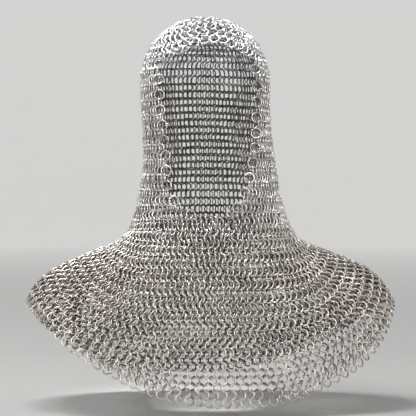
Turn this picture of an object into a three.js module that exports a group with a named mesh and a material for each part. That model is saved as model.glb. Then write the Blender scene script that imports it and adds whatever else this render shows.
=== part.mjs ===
// A chainmail coif: a hood of linked steel rings with an open face, and a round mantle that
// falls from it over the shoulders, chest and back.
// Millimetres, +Z up. The face opening looks along -Y, and +X is on the right as seen from there.
// The origin is the underside of the crown, where a head carries the coif.
import * as THREE from "three";

// Driving dimensions
const MAIL_THICKNESS = 5; // the sheet of linked rings, measured across
const SEAM_GAP = 0.3; // clear space between two neighbouring panels
const ROW_PITCH = 6.5; // the closest that two rows of rings lie, measured down the sheet
const GRID_STEP = 15; // longest side of a grid cell along a row of rings
const ROW_STEP = 1.8; // most rows of rings in one grid cell
const CROWN_SIDES = 36; // points round the crown

// Levels are counted in rows of rings from the top of the crown.
const CAP_ROW = 0.9; // the small closing disc at the top of the crown
const BROW_ROW = 10.7; // lower edge of the crown, and top of the face opening
const COLLAR_ROW = 35; // where the hood joins the mantle
const HEM_ROW = 59.8; // lower edge of the mantle

// The sheet's middle surface, one line for each section through a row of rings: half_width and
// shift_x place its sides, front_y and back_y its depth, the three z values its height at the
// sides, front and back. square is 2 for an oval and more for a squarer outline. A higher flat keeps
// a row level for longer before it bends up over the shoulders, and a higher sharp narrows its rise
// over the brow. turn, in degrees, is how far the drape has turned towards +X. The first section
// mirrors the third past the top.
const SECTIONS = table(
  "row half_width shift_x side_z front_y front_z back_y back_z square flat sharp turn",
  [-2, -17.8, 0, 0.4, 14.5, 1.7, -19, 0.7, 2, 2, 3, 7],
  [0, 0, 0, 2.5, 0, 2.5, 0, 2.5, 2, 2, 3, 7],
  [2, 17.8, 0, 0.4, -14.5, 1.5, 19, 0.7, 2, 2, 3, 7],
  [4, 34.6, 0, -5.7, -28.5, -2, 37, -4.5, 2, 2, 3, 7],
  [6, 49.5, 0, -15.4, -41.5, -7.5, 54, -13, 2, 2, 3, 7],
  [8, 61.6, 0, -28.4, -53.5, -15, 69.5, -24.5, 2, 2, 3, 7],
  [10.5, 71.7, 0, -47.8, -67.5, -26.5, 84.5, -43, 2, 2, 3, 7],
  [13, 76, 0, -69.4, -78, -47, 94, -64, 2, 2, 3, 6],
  [17, 75.7, 0.5, -105.6, -85, -96, 99, -100, 2, 2, 2, 5],
  [21, 75.8, 3, -141.8, -87, -138, 97.5, -136, 2, 2, 1, 4],
  [25, 78, 5, -178, -86, -176, 93.5, -172, 2, 3, 0, 3],
  [29, 84, 6, -214, -81, -212, 90, -208, 2, 4, 0, 2],
  [33, 93.5, 6.5, -250, -74, -245, 90, -245, 2, 6, 0, 2],
  [35.5, 101.5, 6.5, -264, -78.5, -265, 93.5, -264, 2.05, 8, 0, 2],
  [38, 115, 6.5, -275, -84.5, -285, 98, -283, 2.1, 9, 0, 2],
  [43.5, 148.5, 6.8, -288, -96, -329, 108, -324, 2.2, 6, 0, 3],
  [49, 179, 7, -300.5, -105.5, -373, 115.5, -366, 2.3, 4.5, 0, 4],
  [52.5, 198, 7, -310.5, -110.5, -401, 118.5, -392, 2.4, 3.8, 0, 4.5],
  [56, 214, 7, -325, -114.5, -430, 120.5, -418, 2.4, 3.1, 0.04, 5.5],
  [58.5, 222, 7, -338, -116.5, -451, 121, -438, 2.35, 2.6, 0.08, 6],
  [60, 226, 7, -346, -117.5, -463.5, 121, -449, 2.3, 2.5, 0.1, 6.5],
);

// The face opening: the angles, in degrees, from the front to its two edges at a row.
const OPENING = table(
  "row left right",
  [9, 46, 47],
  [11, 47, 48],
  [14, 46, 50],
  [17, 45, 50],
  [20.5, 44, 46.5],
  [24.2, 41.5, 38.5],
  [28.2, 37, 27],
  [30.4, 25, 19],
  [32, 12, 7],
  [33.2, 2, -2],
);
const CHIN_SEAM = -2; // the hood's two sides meet here below the face, in degrees

// The seams at the edges of the mantle's front and back, in degrees from the front or back.
const MANTLE_SEAM = table("row angle", [33, 64], [36, 60], [40, 52], [48, 39], [60, 30]);
const HOOD_SEAM = 118; // where the hood's sides meet its back, in degrees from the front

// Soft troughs that run down the mantle: their angle from the front, half their width in
// degrees, their depth at the hem and the row where each starts.
const FOLDS = table(
  "angle width depth start",
  [-29, 9, 5, 37],
  [33, 9, 6, 36],
  [8, 7, 2.5, 42],
  [-118, 10, 4.5, 39],
  [121, 10, 5, 38],
  [171, 8, 3, 42],
);

// A small table as a list of objects whose keys are the names in its first line.
function table(names, ...rows) {
  const keys = names.split(" ");
  return rows.map((row) => Object.fromEntries(keys.map((key, i) => [key, row[i]])));
}

// The value of one column at a row, on a smooth curve through all the table's lines.
function smooth(lines, column, row) {
  const last = lines.length - 1;
  const found = lines.findIndex((line) => line.row > row);
  const i = Math.min(Math.max((found < 0 ? last : found) - 1, 0), last - 1);
  const slope = (k) => {
    const a = lines[Math.max(k - 1, 0)];
    const b = lines[Math.min(k + 1, last)];
    return (b[column] - a[column]) / (b.row - a.row);
  };
  const span = lines[i + 1].row - lines[i].row;
  const t = THREE.MathUtils.clamp((row - lines[i].row) / span, 0, 1);
  const rise = lines[i + 1][column] - lines[i][column];
  const start = slope(i) * span - rise;
  const end = rise - slope(i + 1) * span;
  return lines[i][column] + rise * t + t * (1 - t) * (start * (1 - t) + end * t);
}

// How far the folds pull the sheet inwards at a row and an angle.
function foldDepth(row, angle) {
  return FOLDS.reduce((sum, fold) => {
    const along = THREE.MathUtils.smoothstep(row, fold.start, HEM_ROW);
    const off = THREE.MathUtils.euclideanModulo(angle - fold.angle + 180, 360) - 180;
    return sum + fold.depth * along * Math.exp(-((off / fold.width) ** 2));
  }, 0);
}

// How far a row has gone from its level at the side, 0, to its level at the front or back, 1.
function drapeCurve(angle, flat, sharp) {
  return (1 - Math.abs(Math.sin(angle)) ** flat) * Math.abs(Math.cos(angle)) ** sharp;
}

// A point of the middle surface. The angle is in degrees from the front, growing towards +X.
function middlePoint(row, angle) {
  const at = (column) => smooth(SECTIONS, column, row);
  const a = THREE.MathUtils.degToRad(angle);
  const facing = a - THREE.MathUtils.degToRad(at("turn"));
  const atFront = Math.cos(facing) > 0;
  const rise = (atFront ? at("front_z") : at("back_z")) - at("side_z");
  const z = at("side_z") + rise * drapeCurve(facing, at("flat"), atFront ? at("sharp") : 0);
  const square = at("square");
  const corner = (Math.abs(Math.sin(a)) ** square + Math.abs(Math.cos(a)) ** square) ** (-1 / square);
  const half = at("half_width");
  const depth = Math.cos(a) > 0 ? -at("front_y") : at("back_y");
  const pull = foldDepth(row, angle) / Math.max(Math.hypot(half, depth), 1);
  return new THREE.Vector3(
    at("shift_x") + half * Math.sin(a) * corner * (1 - pull),
    -depth * Math.cos(a) * corner * (1 - 2 * pull),
    z,
  );
}

// The outward direction of the sheet, square to it.
function outward(row, angle) {
  const step = 0.05;
  const safeRow = Math.max(row, 2 * step);
  const down = middlePoint(safeRow + step, angle).sub(middlePoint(safeRow - step, angle));
  const along = middlePoint(safeRow, angle + step).sub(middlePoint(safeRow, angle - step));
  return down.cross(along).normalize();
}

// How many degrees along a row make a length in millimetres there.
function degreesFor(length, row, angle) {
  const arc = middlePoint(row, angle + 0.5).distanceTo(middlePoint(row, angle - 0.5));
  return length / arc;
}

// A closed wall over rows of rings. anglesAt(row) lists the angles of its points along a row.
// A round wall goes all the way round, and is closed by a point at the crown's top.
function wallGeometry(rows, anglesAt, isRound) {
  const points = [];
  const layers = [MAIL_THICKNESS / 2, -MAIL_THICKNESS / 2];
  for (const offset of layers)
    for (const row of rows)
      for (const angle of anglesAt(row))
        points.push(middlePoint(row, angle).addScaledVector(outward(row, angle), offset));

  const columns = anglesAt(rows[0]).length;
  const across = isRound ? columns : columns - 1;
  const last = rows.length - 1;
  const outer = (i, j) => i * columns + (j % columns);
  const inner = (i, j) => rows.length * columns + outer(i, j);
  const faces = [];
  const quad = (a, b, c, d) => faces.push(a, b, c, a, c, d);
  for (let j = 0; j < across; j++) {
    for (let i = 0; i < last; i++) {
      quad(outer(i, j), outer(i + 1, j), outer(i + 1, j + 1), outer(i, j + 1));
      quad(inner(i, j), inner(i, j + 1), inner(i + 1, j + 1), inner(i + 1, j));
    }
    quad(inner(last, j), inner(last, j + 1), outer(last, j + 1), outer(last, j));
  }
  if (isRound) {
    const top = points.length;
    for (const offset of layers) points.push(middlePoint(0, 0).add(new THREE.Vector3(0, 0, offset)));
    for (let j = 0; j < across; j++) {
      faces.push(top, outer(0, j), outer(0, j + 1));
      faces.push(top + 1, inner(0, j + 1), inner(0, j));
    }
  } else {
    for (let j = 0; j < across; j++) quad(outer(0, j), outer(0, j + 1), inner(0, j + 1), inner(0, j));
    for (let i = 0; i < last; i++) {
      quad(inner(i, 0), inner(i + 1, 0), outer(i + 1, 0), outer(i, 0));
      quad(outer(i, across), outer(i + 1, across), inner(i + 1, across), inner(i, across));
    }
  }
  return new THREE.BufferGeometry().setFromPoints(points).setIndex(faces);
}

// Evenly spaced values from one to another, both included, no further apart than the step.
function spread(first, last, step) {
  const count = Math.ceil((last - first) / step);
  return Array.from({ length: count + 1 }, (_, i) => first + ((last - first) * i) / count);
}

// A panel between two levels and two edges, each edge an angle given for every row. All edges
// but the hem stand back by half a seam.
function panelGeometry(top, bottom, startAt, endAt) {
  const half = SEAM_GAP / 2;
  const bottomGap = bottom < HEM_ROW ? half : 0;
  const rows = spread(top + half / ROW_PITCH, bottom - bottomGap / ROW_PITCH, ROW_STEP);
  const edges = (row) => {
    const start = startAt(row) + degreesFor(half, row, startAt(row));
    const end = endAt(row) - degreesFor(half, row, endAt(row));
    return [start, end];
  };
  const width = (row) => {
    const [start, end] = edges(row);
    return (end - start) / degreesFor(1, row, (start + end) / 2);
  };
  const across = Math.ceil(Math.max(...rows.map(width)) / GRID_STEP);
  const anglesAt = (row) => {
    const [start, end] = edges(row);
    return Array.from({ length: across + 1 }, (_, j) => start + ((end - start) * j) / across);
  };
  return wallGeometry(rows, anglesAt, false);
}

function crownGeometry() {
  const angles = spread(0, 360, 360 / CROWN_SIDES).slice(0, -1);
  return wallGeometry(spread(CAP_ROW, BROW_ROW, ROW_STEP), () => angles, true);
}

const openingLeft = (row) => Math.min(-smooth(OPENING, "left", row), CHIN_SEAM);
const openingRight = (row) => Math.max(smooth(OPENING, "right", row), CHIN_SEAM);
const frontSeam = (row) => smooth(MANTLE_SEAM, "angle", row);
const backSeam = (row) => 180 - frontSeam(row);

// A hood panel runs from the brow's level to the collar, and a mantle panel from there to the hem.
const hoodPanel = (startAt, endAt) => panelGeometry(BROW_ROW, COLLAR_ROW, startAt, endAt);
const mantlePanel = (startAt, endAt) => panelGeometry(COLLAR_ROW, HEM_ROW, startAt, endAt);

const coif = new THREE.Group();

function addPanel(name, color, geometry) {
  const material = new THREE.MeshStandardMaterial({ color, roughness: 0.38, metalness: 0.9 });
  const mesh = new THREE.Mesh(geometry, material);
  mesh.name = name;
  coif.add(mesh);
}

const BRIGHT_STEEL = 0xc4c5c7;
const HOOD_STEEL = 0xb9b8b7;
const WARM_STEEL = 0xa9a6a3;
addPanel("crown", BRIGHT_STEEL, crownGeometry());
addPanel("hood_left", HOOD_STEEL, hoodPanel(() => -HOOD_SEAM, openingLeft));
addPanel("hood_right", HOOD_STEEL, hoodPanel(openingRight, () => HOOD_SEAM));
addPanel("hood_back", HOOD_STEEL, hoodPanel(() => HOOD_SEAM, () => 360 - HOOD_SEAM));
addPanel("mantle_front", WARM_STEEL, mantlePanel((row) => -frontSeam(row), frontSeam));
addPanel("mantle_right", WARM_STEEL, mantlePanel(frontSeam, backSeam));
addPanel("mantle_left", WARM_STEEL, mantlePanel((row) => -backSeam(row), (row) => -frontSeam(row)));
addPanel("mantle_back", WARM_STEEL, mantlePanel(backSeam, (row) => 360 - backSeam(row)));

export default coif;
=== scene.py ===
"""A chainmail coif with a shoulder mantle: rings of round steel wire, each linked through four others.

Every panel of the frame is replaced by the rings that lie in it. The tables repeat the frame's middle
surface, in millimetres, so each ring sits on the sheet that its panel stands for.
"""
import math

import bpy
import numpy as np
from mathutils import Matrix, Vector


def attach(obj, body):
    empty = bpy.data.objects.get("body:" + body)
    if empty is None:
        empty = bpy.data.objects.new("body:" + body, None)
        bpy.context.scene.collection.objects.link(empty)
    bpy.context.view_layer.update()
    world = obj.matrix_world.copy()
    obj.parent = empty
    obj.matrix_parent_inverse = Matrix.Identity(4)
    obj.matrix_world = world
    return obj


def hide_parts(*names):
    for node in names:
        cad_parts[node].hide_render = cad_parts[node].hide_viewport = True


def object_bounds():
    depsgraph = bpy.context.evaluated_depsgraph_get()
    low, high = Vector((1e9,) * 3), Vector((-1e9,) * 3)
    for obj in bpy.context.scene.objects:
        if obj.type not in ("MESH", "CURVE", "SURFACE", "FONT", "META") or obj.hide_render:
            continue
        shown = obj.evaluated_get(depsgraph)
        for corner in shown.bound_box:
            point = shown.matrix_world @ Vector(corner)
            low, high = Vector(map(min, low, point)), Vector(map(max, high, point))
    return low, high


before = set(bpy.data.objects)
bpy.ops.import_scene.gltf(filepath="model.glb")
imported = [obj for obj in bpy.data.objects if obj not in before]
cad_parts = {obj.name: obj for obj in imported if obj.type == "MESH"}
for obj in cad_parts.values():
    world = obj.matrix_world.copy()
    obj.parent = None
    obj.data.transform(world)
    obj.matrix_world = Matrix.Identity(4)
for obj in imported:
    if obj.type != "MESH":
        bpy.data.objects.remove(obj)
cad_low, cad_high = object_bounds()

MM = 0.001
SEED = 11


def add_camera():
    """The photograph's view: nearly level, from 2.2 m away and slightly to the left."""
    azimuth, elevation, distance = math.radians(-2), math.radians(2), 2.2
    target = (0.0037, 0, -0.2294)
    back = (
        math.sin(azimuth) * math.cos(elevation),
        -math.cos(azimuth) * math.cos(elevation),
        math.sin(elevation),
    )
    camera = bpy.data.objects.new("camera", bpy.data.cameras.new("camera"))
    camera.data.sensor_width = 36
    camera.data.lens = 153.5
    camera.location = [t + distance * b for t, b in zip(target, back)]
    camera.rotation_euler = (math.pi / 2 - elevation, 0, azimuth)
    bpy.context.scene.collection.objects.link(camera)
    bpy.context.scene.camera = camera


add_camera()

# The sheet of mail

HEM_ROW = 59.8
RING_ROWS = range(1, 61)
CROWN_ROWS = 11  # closed rows above the face opening
FIRST_CLOSED_ROW = 33  # where the rows join again below the face opening
FIRST_MANTLE_ROW = 36
HOOD_SEAM = 118  # degrees from the front to the seam of the hood's back
CHIN_SEAM = -2  # degrees from the front to the seam below the face opening


def table(names, *rows):
    """Columns of numbers under the names in the first line."""
    return dict(zip(names.split(), np.array(rows, float).T))


# One line for each section through a row of rings: half its width, where its middle is, how far it
# reaches to the front and back, and its heights at the sides, front and back.
SECTIONS = table(
    "row half_width shift_x side_z front_y front_z back_y back_z square flat sharp turn",
    [-2, -17.8, 0, 0.4, 14.5, 1.7, -19, 0.7, 2, 2, 3, 7],
    [0, 0, 0, 2.5, 0, 2.5, 0, 2.5, 2, 2, 3, 7],
    [2, 17.8, 0, 0.4, -14.5, 1.5, 19, 0.7, 2, 2, 3, 7],
    [4, 34.6, 0, -5.7, -28.5, -2, 37, -4.5, 2, 2, 3, 7],
    [6, 49.5, 0, -15.4, -41.5, -7.5, 54, -13, 2, 2, 3, 7],
    [8, 61.6, 0, -28.4, -53.5, -15, 69.5, -24.5, 2, 2, 3, 7],
    [10.5, 71.7, 0, -47.8, -67.5, -26.5, 84.5, -43, 2, 2, 3, 7],
    [13, 76, 0, -69.4, -78, -47, 94, -64, 2, 2, 3, 6],
    [17, 75.7, 0.5, -105.6, -85, -96, 99, -100, 2, 2, 2, 5],
    [21, 75.8, 3, -141.8, -87, -138, 97.5, -136, 2, 2, 1, 4],
    [25, 78, 5, -178, -86, -176, 93.5, -172, 2, 3, 0, 3],
    [29, 84, 6, -214, -81, -212, 90, -208, 2, 4, 0, 2],
    [33, 93.5, 6.5, -250, -74, -245, 90, -245, 2, 6, 0, 2],
    [35.5, 101.5, 6.5, -264, -78.5, -265, 93.5, -264, 2.05, 8, 0, 2],
    [38, 115, 6.5, -275, -84.5, -285, 98, -283, 2.1, 9, 0, 2],
    [43.5, 148.5, 6.8, -288, -96, -329, 108, -324, 2.2, 6, 0, 3],
    [49, 179, 7, -300.5, -105.5, -373, 115.5, -366, 2.3, 4.5, 0, 4],
    [52.5, 198, 7, -310.5, -110.5, -401, 118.5, -392, 2.4, 3.8, 0, 4.5],
    [56, 214, 7, -325, -114.5, -430, 120.5, -418, 2.4, 3.1, 0.04, 5.5],
    [58.5, 222, 7, -338, -116.5, -451, 121, -438, 2.35, 2.6, 0.08, 6],
    [60, 226, 7, -346, -117.5, -463.5, 121, -449, 2.3, 2.5, 0.1, 6.5],
)
# Degrees from the front to the face opening's two edges.
OPENING = table(
    "row left right",
    [9, 46, 47],
    [11, 47, 48],
    [14, 46, 50],
    [17, 45, 50],
    [20.5, 44, 46.5],
    [24.2, 41.5, 38.5],
    [28.2, 37, 27],
    [30.4, 25, 19],
    [32, 12, 7],
    [33.2, 2, -2],
)
MANTLE_SEAM = table("row angle", [33, 64], [36, 60], [40, 52], [48, 39], [60, 30])
# The row of the sheet, as in the tables above, on which each row of rings hangs.
HUNG_ON = table(
    "ring_row sheet_row",
    [1, 1],
    [11, 10.1],
    [15, 14.5],
    [28, 27.6],
    [33, 32.8],
    [36, 35.2],
    [60, 59],
)
# Troughs that run down the mantle.
FOLDS = table(
    "angle width depth start",
    [-29, 9, 5, 37],
    [33, 9, 6, 36],
    [8, 7, 2.5, 42],
    [-118, 10, 4.5, 39],
    [121, 10, 5, 38],
    [171, 8, 3, 42],
)
# How far apart the rings of a row hang: the closest pitch, and how much wider it is at the front
# and at the sides, as a share of that.
SPACING = table(
    "row pitch front side",
    [1, 6.9, 0, 0],
    [4, 6.7, 0.35, 0],
    [8, 6.3, 0.75, 0],
    [11, 6.2, 0.85, 0],
    [14, 6.2, 0, 0],
    [20, 6.1, 0, 0],
    [33, 6.1, 0, 0],
    [38, 6.3, 0.08, 0],
    [44, 7.4, 0, 0.05],
    [49, 8.7, 0, 0.1],
    [53, 9.8, 0, 0.1],
    [59, 11, 0, 0.05],
)


def sheet_row(ring_row):
    return np.interp(ring_row, HUNG_ON["ring_row"], HUNG_ON["sheet_row"])


def smooth(lines, column, row):
    """One column's value at a row, on a smooth curve through all the table's lines."""
    x, y = lines["row"], lines[column]
    before = np.maximum(np.arange(len(x)) - 1, 0)
    after = np.minimum(np.arange(len(x)) + 1, len(x) - 1)
    slope = (y[after] - y[before]) / (x[after] - x[before])
    i = np.clip(np.searchsorted(x, row, side="right") - 1, 0, len(x) - 2)
    span = x[i + 1] - x[i]
    t = np.clip((row - x[i]) / span, 0, 1)
    rise = y[i + 1] - y[i]
    start = slope[i] * span - rise
    end = rise - slope[i + 1] * span
    return y[i] + rise * t + t * (1 - t) * (start * (1 - t) + end * t)


def fold_depth(row, angle):
    """How far the folds pull the sheet inwards."""
    total = 0
    for fold in zip(*(FOLDS[key] for key in ("angle", "width", "depth", "start"))):
        middle, width, depth, start = fold
        t = np.clip((row - start) / (HEM_ROW - start), 0, 1)
        off = (angle - middle + 180) % 360 - 180
        total = total + depth * t * t * (3 - 2 * t) * np.exp(-((off / width) ** 2))
    return total


def middle_point(row, angle):
    """A point of the sheet's middle surface. The angle is in degrees from the front, towards +X."""
    row, angle = np.broadcast_arrays(np.asarray(row, float), np.asarray(angle, float))
    at = {column: smooth(SECTIONS, column, row) for column in SECTIONS}
    a = np.radians(angle)
    facing = a - np.radians(at["turn"])
    is_front = np.cos(facing) > 0
    rise = np.where(is_front, at["front_z"], at["back_z"]) - at["side_z"]
    sharp = np.where(is_front, at["sharp"], 0)
    drape = (1 - np.abs(np.sin(facing)) ** at["flat"]) * np.abs(np.cos(facing)) ** sharp
    square = at["square"]
    corner = (np.abs(np.sin(a)) ** square + np.abs(np.cos(a)) ** square) ** (-1 / square)
    depth = np.where(np.cos(a) > 0, -at["front_y"], at["back_y"])
    pull = fold_depth(row, angle) / np.maximum(np.hypot(at["half_width"], depth), 1)
    x = at["shift_x"] + at["half_width"] * np.sin(a) * corner * (1 - pull)
    y = -depth * np.cos(a) * corner * (1 - 2 * pull)
    return np.stack([x, y, at["side_z"] + rise * drape], -1)


def unit(vectors):
    return vectors / np.linalg.norm(vectors, axis=-1, keepdims=True)


def sheet_axes(row, angle):
    """Directions along the row, down the sheet and outwards, square to each other."""
    step = 0.05
    along = unit(middle_point(row, angle + step) - middle_point(row, angle - step))
    down = middle_point(row + step, angle) - middle_point(row - step, angle)
    outward = unit(np.cross(down, along))
    return along, unit(np.cross(along, outward)), outward


# Where each ring hangs

RING_RADIUS = 6.0  # to the middle of the wire
WIRE_RADIUS = 0.9
EDGE_INSET = 4.3  # from the face opening's edge to the middle of the rings along it
RELAX_ROUNDS = 4
SAMPLE_ANGLES = np.arange(-360, 721, 1.0)
random = np.random.default_rng(SEED)


def openness(row, angle):
    """How much wider than the row's closest pitch the rings stand at an angle."""
    a = np.radians(angle)
    front = smooth(SPACING, "front", row) * np.maximum(np.cos(a), 0) ** 4
    return 1 + front + smooth(SPACING, "side", row) * np.sin(a) ** 2


class RowScale:
    """A row's length, counted in closest pitches, against the angle."""

    def __init__(self, row):
        points = middle_point(row, SAMPLE_ANGLES)
        steps = np.linalg.norm(np.diff(points, axis=0), axis=1)
        middles = (SAMPLE_ANGLES[1:] + SAMPLE_ANGLES[:-1]) / 2
        pitch = smooth(SPACING, "pitch", row) * openness(row, middles)
        self.lengths = np.concatenate([[0], np.cumsum(steps / pitch)])
        self.whole = self.to_length(360) - self.to_length(0)

    def to_length(self, angle):
        return np.interp(angle, SAMPLE_ANGLES, self.lengths)

    def to_angle(self, length):
        return np.interp(length, self.lengths, SAMPLE_ANGLES)


def settle(at, whole):
    """Evens out the gaps between neighbours. whole is the row's length if it is closed, or None."""
    for _ in range(RELAX_ROUNDS):
        if whole is None:
            middles = (at[2:] + at[:-2]) / 2
            at = np.concatenate([at[:1], (at[1:-1] + middles) / 2, at[-1:]])
        else:
            before = np.concatenate([at[-1:] - whole, at[:-1]])
            after = np.concatenate([at[1:], at[:1] + whole])
            at = (at + (before + after) / 2) / 2
    return at


def add_rings(at, count, whole):
    """Opens the widest gaps for extra rings until there are count of them."""
    while len(at) < count:
        closed = at if whole is None else np.append(at, at[0] + whole)
        gaps = np.diff(closed)
        widest = int(np.argmax(gaps * random.uniform(0.9, 1.1, len(gaps))))
        at = np.insert(at, widest + 1, (closed[widest] + closed[widest + 1]) / 2)
        at = settle(at, whole)
    return at


def closed_row(scale, angles):
    """A row that goes all round: its rings hang between the rings above."""
    at = scale.to_length(angles)
    at = np.append(at, at[0] + scale.whole)
    at = (at[1:] + at[:-1]) / 2
    return settle(add_rings(at, round(scale.whole), scale.whole), scale.whole)


def opening_edges(row):
    """Angles of the face opening's right and left edges, going round the back between them."""
    right = max(float(smooth(OPENING, "right", sheet_row(row))), CHIN_SEAM)
    left = min(-float(smooth(OPENING, "left", sheet_row(row))), CHIN_SEAM)
    return right, 360 + left


def open_row(row, scale, angles, was_closed):
    """A row from one edge of the face opening round the back to the other. Rows reach out to the
    two edges in turn, and the other end of each stands back by half a ring."""
    right, left = opening_edges(row)
    inset = EDGE_INSET / float(smooth(SPACING, "pitch", sheet_row(row)))
    start = scale.to_length(right) + inset + (0 if row % 2 else 0.5)
    end = scale.to_length(left) - inset - (0.5 if row % 2 else 0)
    at = scale.to_length(angles)
    if was_closed:
        at = np.append(at, at[0] + scale.whole)
    at = (at[1:] + at[:-1]) / 2
    at = at[(at > start + 0.5) & (at < end - 0.5)]
    first, last = round(at[0] - start), round(end - at[-1])
    before = np.linspace(start, at[0], max(first, 1) + 1)[:-1]
    after = np.linspace(at[-1], end, max(last, 1) + 1)[1:]
    at = np.concatenate([before, at, after])
    return settle(add_rings(at, round(end - start) + 1, None), None)


def hang_rows():
    """The angles of the rings of every row."""
    rows = {}
    angles = None
    for row in RING_ROWS:
        scale = RowScale(sheet_row(row))
        if row == 1:
            angles = np.arange(8) * 45.0
        elif CROWN_ROWS < row < FIRST_CLOSED_ROW:
            at = open_row(row, scale, angles, was_closed=row == CROWN_ROWS + 1)
            angles = scale.to_angle(at)
        else:
            angles = scale.to_angle(closed_row(scale, angles))
            angles = np.sort((angles - CHIN_SEAM) % 360) + CHIN_SEAM
        rows[row] = angles
    return rows


def panel_of(row, angle):
    """The frame's node that a ring lies in."""
    angle = (angle - CHIN_SEAM) % 360 + CHIN_SEAM
    if row <= CROWN_ROWS:
        return "crown"
    if row < FIRST_MANTLE_ROW:
        is_back = HOOD_SEAM < angle < 360 - HOOD_SEAM
        return "hood_back" if is_back else "hood_right" if angle < 180 else "hood_left"
    seam = float(smooth(MANTLE_SEAM, "angle", sheet_row(row)))
    if angle < seam or angle > 360 - seam:
        return "mantle_front"
    if 180 - seam < angle < 180 + seam:
        return "mantle_back"
    return "mantle_right" if angle < 180 else "mantle_left"


# The lean of a ring out of the sheet, in degrees, at which it stays clear of its neighbours. It
# depends on how far apart the rings and the rows hang.
BROW_LEAN = 14  # of the ring in the middle of the brow, which nothing pulls down
BROW_LEAN_RISE = 0.5  # how much more a brow ring leans for each degree towards +X
SHINGLE_DROPS = [6.6, 7.6]  # rows closer than these lie over each other like shingles
SHINGLE_TILTS = [9, 0]
LEAN_PITCHES = [5, 6, 7, 8, 10, 12]
LEAN_DROPS = [6.5, 7.2, 8.2, 9]
LEANS = np.array(
    [
        [50, 46, 41, 36, 31, 28],
        [53, 50, 43, 36, 29, 24],
        [51, 46, 34, 29, 25, 22],
        [46, 37, 26, 25, 22, 18],
    ]
)


def lean_for(pitch, drop):
    """The lean read from the table, between its lines."""
    by_drop = np.array([np.interp(pitch, LEAN_PITCHES, line) for line in LEANS])
    place = np.interp(drop, LEAN_DROPS, np.arange(len(LEAN_DROPS)))
    low = np.minimum(place.astype(int), len(LEAN_DROPS) - 2)
    share = place - low
    index = np.arange(len(pitch))
    return by_drop[low, index] * (1 - share) + by_drop[low + 1, index] * share


def turn(vectors, axis, degrees):
    """Turns vectors round an axis square to them."""
    a = np.radians(degrees)[:, None]
    return vectors * np.cos(a) + np.cross(axis, vectors) * np.sin(a)


def is_free(row, angles):
    """Which rings of a row hang at an edge, where no neighbour covers them."""
    if row == RING_ROWS[-1]:
        return np.full(len(angles), True)
    right, left = opening_edges(row)
    if row == CROWN_ROWS:
        return (angles % 360 < right) | (angles % 360 > left)
    if CROWN_ROWS < row < FIRST_CLOSED_ROW:
        return np.isin(np.arange(len(angles)), [0, len(angles) - 1])
    return np.full(len(angles), False)


def hang_rings():
    """One record for each ring: its panel, its middle and the two axes of its plane."""
    rings = {"panel": [], "middle": [], "side": [], "down": [], "outward": []}
    rings.update(row=[], covered=[])
    for row, angles in hang_rows().items():
        middles = middle_point(sheet_row(row), angles)
        closed = not CROWN_ROWS < row < FIRST_CLOSED_ROW
        steps = np.linalg.norm(np.roll(middles, -1, axis=0) - middles, axis=1)
        pitch = (steps + np.roll(steps, 1)) / 2
        if not closed:
            pitch[0], pitch[-1] = steps[0], steps[-2]
        above, below = sheet_row(row - 0.5), sheet_row(row + 0.5)
        drop = middle_point(below, angles) - middle_point(above, angles)
        drop = np.linalg.norm(drop, axis=1)
        along, down, outward = sheet_axes(sheet_row(row), angles)
        count = len(angles)
        from_front = (angles + 180) % 360 - 180
        bunched = np.exp(-(((row - 35.5) / 2.5) ** 2) - from_front**2 / 700)
        loose = 1 + 2 * bunched
        lean = lean_for(pitch, drop) + random.normal(0, 4, count) * loose
        hand = 1 if row % 2 else -1
        free = is_free(row, angles)
        brow_lean = BROW_LEAN + BROW_LEAN_RISE * np.maximum(from_front, 0)
        lean = np.where(free & (row == CROWN_ROWS), brow_lean, hand * lean)
        side = turn(along, down, lean)
        normal = np.cross(side, down)
        shingle = np.interp(drop, SHINGLE_DROPS, SHINGLE_TILTS)
        tilt = random.normal(0, 4, count) * loose - shingle
        down = turn(down, side, tilt)
        spin = random.normal(0, 3, count) * loose
        side, down = turn(side, normal, spin), turn(down, normal, spin)
        middles = middles + random.normal(0, 0.25, (count, 3)) * loose[:, None]
        rings["panel"] += [panel_of(row, angle) for angle in angles]
        for key, value in (("middle", middles), ("side", side), ("down", down), ("outward", outward)):
            rings[key].append(value)
        rings["row"].append(np.full(count, row))
        rings["covered"].append(np.where(free, 0, 1))
    return {key: np.concatenate(v) if key != "panel" else np.array(v) for key, v in rings.items()}


# The rings themselves

RING_STEPS = 16
WIRE_SIDES = 6
JOINT_GAP = 0.25  # where the wire's two cut ends meet
# The two shares below set how much painted shade the covering neighbours and the row above put on a ring.
COVERED_SHARE = 0.5  # how much of the shade comes from the neighbours that cover a ring
UNDER_SHARE = 0.55  # how much the row above covers a ring's upper side


def ring_points(middle, side, down, outward, covered):
    """The wire of every ring as sections, each a small polygon, and painted shading for each point of it:
    1 where it stands and faces out of the sheet, -1 where it lies and faces in, and on rings that neighbours
    cover, darker on the upper side under the row above. The cut ends are at random places."""
    count = len(middle)
    half_gap = JOINT_GAP / 2 / RING_RADIUS
    sweep = np.linspace(half_gap, 2 * math.pi - half_gap, RING_STEPS + 1)
    turns = sweep[None, :] + random.uniform(0, 2 * math.pi, count)[:, None]
    axis = np.cross(side, down)
    radial = (
        np.cos(turns)[..., None] * side[:, None, :] + np.sin(turns)[..., None] * down[:, None, :]
    )
    around = np.linspace(0, 2 * math.pi, WIRE_SIDES, endpoint=False)
    centre_line = middle[:, None, None, :] + RING_RADIUS * radial[:, :, None, :]
    skin = (
        radial[:, :, None, :] * np.cos(around)[None, None, :, None]
        + axis[:, None, None, :] * np.sin(around)[None, None, :, None]
    )
    facing = np.einsum("rswk,rk->rsw", skin, outward)
    height = np.einsum("rsk,rk->rs", radial, outward)
    reach = np.abs(np.einsum("rk,rk->r", side, outward))[:, None] + 0.2
    # Painted shade: lower where the wire lies deeper in the sheet, and on the ring's upper side, which the row above
    # covers.
    above = (height / reach + UNDER_SHARE * np.sin(turns))[..., None]
    cover = COVERED_SHARE * covered[:, None, None]
    return centre_line + WIRE_RADIUS * skin, facing * (1 - cover) + above * cover


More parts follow.
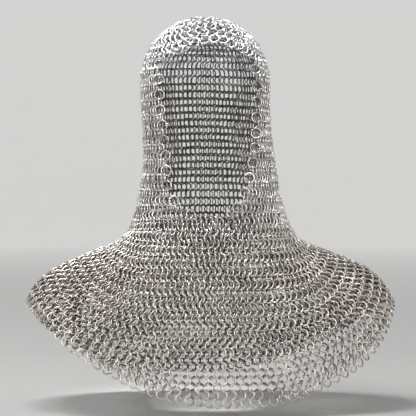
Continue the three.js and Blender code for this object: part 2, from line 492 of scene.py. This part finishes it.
def ring_faces():
    """The quads of one ring, with the two cut ends closed."""
    step, side = np.meshgrid(np.arange(RING_STEPS), np.arange(WIRE_SIDES), indexing="ij")
    after = (side + 1) % WIRE_SIDES
    at = lambda i, j: i * WIRE_SIDES + j
    tube = np.stack([at(step, side), at(step, after), at(step + 1, after), at(step + 1, side)], -1)
    end = at(RING_STEPS, 0)
    caps = [[3, 2, 1, 0], [5, 4, 3, 0], [end, end + 1, end + 2, end + 3], [end, end + 3, end + 4, end + 5]]
    return np.concatenate([tube.reshape(-1, 4), caps])


def ring_uvs():
    """The place of every face corner of one ring in its own unit square."""
    step, side = np.meshgrid(np.arange(RING_STEPS), np.arange(WIRE_SIDES), indexing="ij")
    u = np.stack([step, step, step + 1, step + 1], -1) / RING_STEPS
    v = np.stack([side, side + 1, side + 1, side], -1) / WIRE_SIDES * 0.86
    tube = np.stack([u, v], -1).reshape(-1, 4, 2)
    corner = np.array([[0, 0.92], [0.1, 0.92], [0.1, 1], [0, 1]])
    caps = [corner + [shift, 0] for shift in (0, 0.2, 0.4, 0.6)]
    return np.concatenate([tube, caps])


def make_panel_rings(name, rings, chosen):
    """One mesh of all the rings in a panel."""
    chosen_rings = [rings[key][chosen] for key in ("middle", "side", "down", "outward", "covered")]
    count = len(chosen_rings[0])
    points, painted_shading = ring_points(*chosen_rings)
    each = (RING_STEPS + 1) * WIRE_SIDES
    faces = (ring_faces()[None] + each * np.arange(count)[:, None, None]).reshape(-1, 4)
    mesh = bpy.data.meshes.new(name)
    mesh.from_pydata(points.reshape(-1, 3) * MM, [], faces)
    is_round = np.tile(np.arange(len(ring_faces())) < RING_STEPS * WIRE_SIDES, count)
    mesh.polygons.foreach_set("use_smooth", is_round)

    cells = math.ceil(math.sqrt(count))
    index = np.arange(count)
    corner = np.stack([index % cells, index // cells], -1)
    uvs = (corner[:, None, None, :] + 0.05 + 0.9 * ring_uvs()[None]) / cells
    layer = mesh.uv_layers.new(name="OFBake")
    layer.data.foreach_set("uv", uvs.ravel())

    tone = np.repeat(random.uniform(0, 1, count), each)
    mesh.attributes.new("tone", "FLOAT", "POINT").data.foreach_set("value", tone)
    # Painted shade and light for every wire point, which the material turns into colour.
    mesh.attributes.new("painted_shading", "FLOAT", "POINT").data.foreach_set("value", painted_shading.ravel())

    piece = bpy.data.objects.new(name, mesh)
    bpy.context.scene.collection.objects.link(piece)
    return piece


# Materials


def noise(nodes, links, place, scale, detail):
    texture = nodes.new("ShaderNodeTexNoise")
    texture.inputs["Scale"].default_value = scale
    texture.inputs["Detail"].default_value = detail
    links.new(place.outputs["Object"], texture.inputs["Vector"])
    return texture.outputs["Fac"]


def attribute(nodes, name):
    reader = nodes.new("ShaderNodeAttribute")
    reader.attribute_name = name
    return reader.outputs["Fac"]


def weighted_sum(nodes, links, terms):
    """The sum of values times their weights."""
    total = None
    for value, weight in terms:
        step = nodes.new("ShaderNodeMath")
        step.operation = "MULTIPLY_ADD"
        links.new(value, step.inputs[0])
        step.inputs[1].default_value = weight
        if total is None:
            step.inputs[2].default_value = 0
        else:
            links.new(total, step.inputs[2])
        total = step.outputs[0]
    return total


def ramp(nodes, links, value, stops):
    """Colours along a value, from (place, colour) pairs."""
    made = nodes.new("ShaderNodeValToRGB")
    elements = made.color_ramp.elements
    while len(elements) < len(stops):
        elements.new(1)
    for element, (place, colour) in zip(elements, stops):
        element.position = place
        element.color = (*colour, 1)
    links.new(value, made.inputs["Fac"])
    return made.outputs["Color"]


def share_of(nodes, links, value, low, high):
    """Goes from 0 to 1 as a value goes from low to high."""
    step = nodes.new("ShaderNodeMapRange")
    step.inputs["From Min"].default_value = low
    step.inputs["From Max"].default_value = high
    links.new(value, step.inputs["Value"])
    return step.outputs["Result"]


def mixed(nodes, links, share, first, second):
    mix = nodes.new("ShaderNodeMix")
    mix.data_type = "RGBA"
    links.new(share, mix.inputs["Factor"])
    links.new(first, mix.inputs["A"])
    links.new(second, mix.inputs["B"])
    return mix.outputs["Result"]


# The steel's colour by height, in metres, with painted light: lighter towards the crown, as if lit from above, and
# darker and warmer towards the hem.
SHADES = [
    # height, then the light, middle and dark colours that the painted shading picks between
    (-0.3, (0.78, 0.725, 0.67), (0.29, 0.26, 0.232), (0.07, 0.06, 0.052)),
    (-0.22, (0.84, 0.815, 0.79), (0.38, 0.36, 0.342), (0.09, 0.085, 0.08)),
    (-0.085, (0.85, 0.83, 0.81), (0.4, 0.38, 0.362), (0.09, 0.085, 0.08)),
    (-0.035, (0.9, 0.9, 0.9), (0.52, 0.52, 0.52), (0.12, 0.12, 0.12)),
]


def steel(name, rough):
    """Zinc-plated wire with stains, fine grain and a tone of its own for each ring. Painted shading makes
    the side that faces out light, and the sides that face in, and those under its neighbours, dark."""
    material = bpy.data.materials.new(name)
    material.use_nodes = True
    nodes, links = material.node_tree.nodes, material.node_tree.links
    shader = nodes["Principled BSDF"]
    shader.inputs["Metallic"].default_value = 1

    place = nodes.new("ShaderNodeTexCoord")
    stain = noise(nodes, links, place, 38, 3)
    grain = noise(nodes, links, place, 1400, 4)
    tone, painted_shading = attribute(nodes, "tone"), attribute(nodes, "painted_shading")
    # Painted shading mixed with real stains, each ring's tone and grain; it picks the colour and the roughness.
    polish_and_shade = weighted_sum(nodes, links, [(painted_shading, 0.42), (stain, 0.5), (tone, 0.2), (grain, 0.2)])
    apart = nodes.new("ShaderNodeSeparateXYZ")
    links.new(place.outputs["Object"], apart.inputs["Vector"])
    lowest, highest = SHADES[0][0], SHADES[-1][0]
    height = share_of(nodes, links, apart.outputs["Z"], lowest, highest)
    places = [(shade[0] - lowest) / (highest - lowest) for shade in SHADES]
    polished_and_lit, middle_colour, dark = (
        ramp(nodes, links, height, [(p, shade[k]) for p, shade in zip(places, SHADES)]) for k in (1, 2, 3)
    )
    # Painted shade and light: the dark colour where the mix is low, the lightest colour where it is high.
    colour = mixed(nodes, links, share_of(nodes, links, polish_and_shade, 0.05, 0.45), dark, middle_colour)
    colour = mixed(nodes, links, share_of(nodes, links, polish_and_shade, 0.45, 0.78), colour, polished_and_lit)
    links.new(colour, shader.inputs["Base Color"])

    gloss = nodes.new("ShaderNodeMapRange")
    gloss.inputs["From Min"].default_value = 0.1
    gloss.inputs["From Max"].default_value = 0.8
    gloss.inputs["To Min"].default_value = rough + 0.25
    gloss.inputs["To Max"].default_value = rough
    links.new(polish_and_shade, gloss.inputs["Value"])
    links.new(gloss.outputs["Result"], shader.inputs["Roughness"])

    bump = nodes.new("ShaderNodeBump")
    bump.inputs["Strength"].default_value = 0.25
    bump.inputs["Distance"].default_value = 0.0001
    links.new(grain, bump.inputs["Height"])
    links.new(bump.outputs["Normal"], shader.inputs["Normal"])
    return material


STEELS = {
    "crown_mail": steel("bright_steel", 0.25),
    "hood_mail": steel("hood_steel", 0.27),
    "mantle_mail": steel("mantle_steel", 0.3),
}

# Pieces

PANELS = {
    "crown": ("crown_mail", []),
    "hood_left": ("hood_mail", ["crown"]),
    "hood_right": ("hood_mail", ["crown"]),
    "hood_back": ("hood_mail", ["crown"]),
    "mantle_front": ("mantle_mail", ["hood_left", "hood_right"]),
    "mantle_right": ("mantle_mail", ["hood_right"]),
    "mantle_left": ("mantle_mail", ["hood_left"]),
    "mantle_back": ("mantle_mail", ["hood_back"]),
}


def make_pieces():
    rings = hang_rings()
    for node, (slot, above) in PANELS.items():
        chosen = rings["panel"] == node
        piece = make_panel_rings(node + "_rings", rings, chosen)
        piece.data.materials.append(STEELS[slot])
        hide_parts(node)
        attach(piece, "root")
    print("rings in all", len(rings["panel"]))


make_pieces()

# Backdrop and light

FLOOR_Z = cad_low.z - 0.012
FLOOR_RADIUS = 3.6
COVE_RADIUS = 1.4  # of the bend from the floor up to the wall
WALL_TOP = 3.6


def add_backdrop():
    """A plain pale floor that bends up into a round wall, so that it has no edge in any view."""
    bend = np.linspace(0, math.pi / 2, 10)
    reach = np.concatenate([[0.01, 1.2, 2.4], FLOOR_RADIUS + COVE_RADIUS * np.sin(bend), [FLOOR_RADIUS + COVE_RADIUS]])
    height = np.concatenate([[0, 0, 0], COVE_RADIUS * (1 - np.cos(bend)), [WALL_TOP]]) + FLOOR_Z
    sides = 64
    a = np.arange(sides) * 2 * math.pi / sides
    rings = np.stack(np.broadcast_arrays(
        reach[:, None] * np.cos(a), reach[:, None] * np.sin(a), height[:, None]), -1)
    at = lambda i, j: i * sides + j % sides
    faces = [
        (at(i, j), at(i, j + 1), at(i + 1, j + 1), at(i + 1, j))
        for i in range(len(reach) - 1)
        for j in range(sides)
    ]
    faces.append(tuple(range(sides - 1, -1, -1)))
    mesh = bpy.data.meshes.new("backdrop")
    mesh.from_pydata(rings.reshape(-1, 3), [], faces)
    mesh.shade_smooth()
    material = bpy.data.materials.new("pale_paper")
    material.use_nodes = True
    shader = material.node_tree.nodes["Principled BSDF"]
    shader.inputs["Base Color"].default_value = (*BACKDROP, 1)
    shader.inputs["Roughness"].default_value = 0.95
    shader.inputs["Emission Color"].default_value = (*BACKDROP, 1)
    nodes, links = material.node_tree.nodes, material.node_tree.links
    place = nodes.new("ShaderNodeTexCoord")
    reach = nodes.new("ShaderNodeVectorMath")
    reach.operation = "LENGTH"
    links.new(place.outputs["Object"], reach.inputs[0])
    # Painted light: the backdrop glows, not at all within GLOW_START of the middle and rising to WALL_GLOW at the
    # wall, so the floor round the coif looks darker than the wall.
    glow = nodes.new("ShaderNodeMapRange")
    glow.inputs["From Min"].default_value = GLOW_START
    glow.inputs["From Max"].default_value = FLOOR_RADIUS
    glow.inputs["To Max"].default_value = WALL_GLOW
    links.new(reach.outputs["Value"], glow.inputs["Value"])
    links.new(glow.outputs["Result"], shader.inputs["Emission Strength"])
    mesh.materials.append(material)
    backdrop = bpy.data.objects.new("backdrop", mesh)
    bpy.context.scene.collection.objects.link(backdrop)


def add_light(name, place, size, power, spread, colour=(1, 1, 1)):
    """A soft panel light that faces the middle of the coif."""
    light = bpy.data.lights.new(name, "AREA")
    light.size = size
    light.energy = power
    light.spread = math.radians(spread)
    light.color = colour
    lamp = bpy.data.objects.new(name, light)
    lamp.location = place
    aim = Vector((0, 0, -0.2)) - lamp.location
    lamp.rotation_euler = aim.to_track_quat("-Z", "Y").to_euler()
    bpy.context.scene.collection.objects.link(lamp)


def add_crown_light():
    """A narrow soft light from above the crown."""
    light = bpy.data.lights.new("crown", "SPOT")
    light.energy = CROWN_POWER
    light.shadow_soft_size = 0.12
    light.spot_size = math.radians(9.5)
    light.spot_blend = 0.8
    lamp = bpy.data.objects.new("crown", light)
    lamp.location = (0, -0.08, 1.2)
    aim = Vector((0, -0.01, -0.04)) - lamp.location
    lamp.rotation_euler = aim.to_track_quat("-Z", "Y").to_euler()
    bpy.context.scene.collection.objects.link(lamp)


def add_world():
    world = bpy.data.worlds.new("studio")
    world.use_nodes = True
    background = world.node_tree.nodes["Background"]
    background.inputs["Color"].default_value = (*SKY, 1)
    background.inputs["Strength"].default_value = SKY_STRENGTH
    bpy.context.scene.world = world


BACKDROP = (0.58, 0.58, 0.575)
SKY = (1, 1, 1)
SKY_STRENGTH = 0.27
GLOW_START = 0.8
WALL_GLOW = 0.6
CROWN_POWER = 195
add_backdrop()
add_light("front", (-0.1, -2.6, -0.05), 0.7, 3.0, 60)
add_light("top", (-0.5, -0.08, 1.5), 0.9, 18, 150)
add_crown_light()
add_world()
bpy.context.scene.view_settings.view_transform = "Standard"
